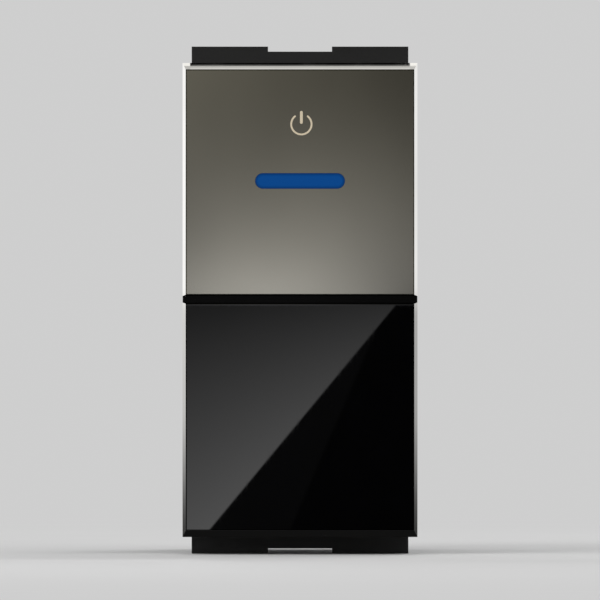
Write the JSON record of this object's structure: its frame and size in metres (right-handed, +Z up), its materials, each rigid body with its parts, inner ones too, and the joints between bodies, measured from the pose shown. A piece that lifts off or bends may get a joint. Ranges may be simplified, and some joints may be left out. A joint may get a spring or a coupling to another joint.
{
  "type": "modular touch switch",
  "caption": "Narrow upright snap-in module with a satin bronze touch plate over a gloss black one, a bright bevelled bezel, a blue indicator bar and rear screw terminals.",
  "frame": {"origin": "the module's centre on the seat plane, which is the rear face of the two shoulders where they bear on the front of the support frame", "axes": "the front faces -Y, +X is to the right seen from the front, +Z is up"},
  "size_m": [0.0222, 0.0368, 0.0484],
  "materials": {
    "bright_bezel": "mirror-bright plated skin on a polished moulding",
    "bronze_plate": "satin bronze-grey metal-effect coating",
    "black_plate": "high gloss black",
    "black_bar": "satin black",
    "adhesive_film": "thin bonding film",
    "blue_lens": "translucent blue, satin",
    "clear_guide": "clear",
    "white_shield": "white moulding",
    "led": "clear dome on white",
    "spring_steel": "drawn wire",
    "steel": "zinc plated",
    "board_laminate": "green solder mask over glass laminate",
    "chip_black": "moulded epoxy",
    "ceramic_chip": "small fired chips",
    "connector_black": "glass filled",
    "carrier_grey": "fine moulded texture, dark grey",
    "housing_grey": "fine moulded texture, dark grey",
    "latch_grey": "fine moulded texture, dark grey",
    "terminal_brass": "nickel free, bright",
    "relay_black": "moulded case",
    "bobbin_white": "moulded",
    "copper_winding": "enamelled copper wire",
    "soft_iron": "plated soft iron",
    "contact_alloy": "bronze strip with silver contact",
    "film_capacitor_yellow": "moulded box",
    "bulk_capacitor_sleeve": "shrunk sleeve",
    "varistor_blue": "dipped coating",
    "fuse_case": "moulded box",
    "ferrite": "sintered ferrite"
  },
  "bodies": {
    "root": {"polished_bezel": "bright_bezel", "upper_touch_plate": "bronze_plate", "lower_touch_plate": "black_plate", "divider_bar": "black_bar", "upper_plate_adhesive": "adhesive_film", "lower_plate_adhesive": "adhesive_film", "indicator_lens": "blue_lens", "light_guide": "clear_guide", "light_shield": "white_shield", "indicator_leds": "led", "upper_touch_spring": "spring_steel", "lower_touch_spring": "spring_steel", "touch_board_screws": "steel", "touch_board": "board_laminate", "touch_chip": "chip_black", "touch_board_parts": "ceramic_chip", "board_header": "connector_black", "board_socket": "connector_black", "front_carrier": "carrier_grey", "rear_housing": "housing_grey", "power_board": "board_laminate", "film_capacitor": "film_capacitor_yellow", "bulk_capacitor": "bulk_capacitor_sleeve", "varistor": "varistor_blue", "fuse": "fuse_case", "choke": "ferrite", "bridge_rectifier": "chip_black", "regulator": "chip_black", "relay_base": "relay_black", "relay_cover": "relay_black", "relay_pins": "contact_alloy", "relay_yoke": "soft_iron", "relay_core": "soft_iron", "relay_bobbin": "bobbin_white", "relay_coil": "copper_winding", "relay_fixed_contact": "contact_alloy", "relay_return_spring": "spring_steel", "terminal_cage_left": "terminal_brass", "terminal_strip_left": "terminal_brass", "terminal_cage_centre": "terminal_brass", "terminal_strip_centre": "terminal_brass", "terminal_cage_right": "terminal_brass", "terminal_strip_right": "terminal_brass"},
    "armature": {"relay_armature": "soft_iron", "relay_moving_contact": "contact_alloy"},
    "top_latch": {"top_latch": "latch_grey"},
    "bottom_latch": {"bottom_latch": "latch_grey"},
    "clamp_left": {"clamp_saddle_left": "steel"},
    "screw_left": {"clamp_screw_left": "steel"},
    "clamp_centre": {"clamp_saddle_centre": "steel"},
    "screw_centre": {"clamp_screw_centre": "steel"},
    "clamp_right": {"clamp_saddle_right": "steel"},
    "screw_right": {"clamp_screw_right": "steel"}
  },
  "joints": [
    {"name": "clamp_left_slide", "type": "slide", "parent": "root", "child": "clamp_left", "axis": [0, 0, 1], "range_m": [0, 0.003]},
    {"name": "screw_left_turn", "type": "hinge", "parent": "clamp_left", "child": "screw_left", "pos_m": [-0.00625, 0.02297, -0.0167], "axis": [0, 0, 1], "range_deg": [0, 2160]},
    {"name": "clamp_centre_slide", "type": "slide", "parent": "root", "child": "clamp_centre", "axis": [0, 0, 1], "range_m": [0, 0.003]},
    {"name": "screw_centre_turn", "type": "hinge", "parent": "clamp_centre", "child": "screw_centre", "pos_m": [0, 0.02297, -0.0167], "axis": [0, 0, 1], "range_deg": [0, 2160]},
    {"name": "clamp_right_slide", "type": "slide", "parent": "root", "child": "clamp_right", "axis": [0, 0, 1], "range_m": [0, 0.003]},
    {"name": "screw_right_turn", "type": "hinge", "parent": "clamp_right", "child": "screw_right", "pos_m": [0.00625, 0.02297, -0.0167], "axis": [0, 0, 1], "range_deg": [0, 2160]},
    {"name": "armature_hinge", "type": "hinge", "parent": "root", "child": "armature", "pos_m": [-0.0047, 0.0152, 0.0063], "axis": [1, 0, 0], "range_deg": [0, 2.2], "stiffness_Nm_per_rad": 0.05},
    {"name": "top_latch_swing", "type": "hinge", "parent": "root", "child": "top_latch", "pos_m": [0, 0.0108, 0.0208], "axis": [1, 0, 0], "range_deg": [0, 7.5], "stiffness_Nm_per_rad": 0.3},
    {"name": "bottom_latch_swing", "type": "hinge", "parent": "root", "child": "bottom_latch", "pos_m": [0, 0.0108, -0.0208], "axis": [-1, 0, 0], "range_deg": [0, 7.5], "stiffness_Nm_per_rad": 0.3}
  ],
  "couplings": [
    {"joint": "screw_left_turn", "follows": "clamp_left_slide", "rad_per_m": 12566},
    {"joint": "screw_centre_turn", "follows": "clamp_centre_slide", "rad_per_m": 12566},
    {"joint": "screw_right_turn", "follows": "clamp_right_slide", "rad_per_m": 12566}
  ]
}
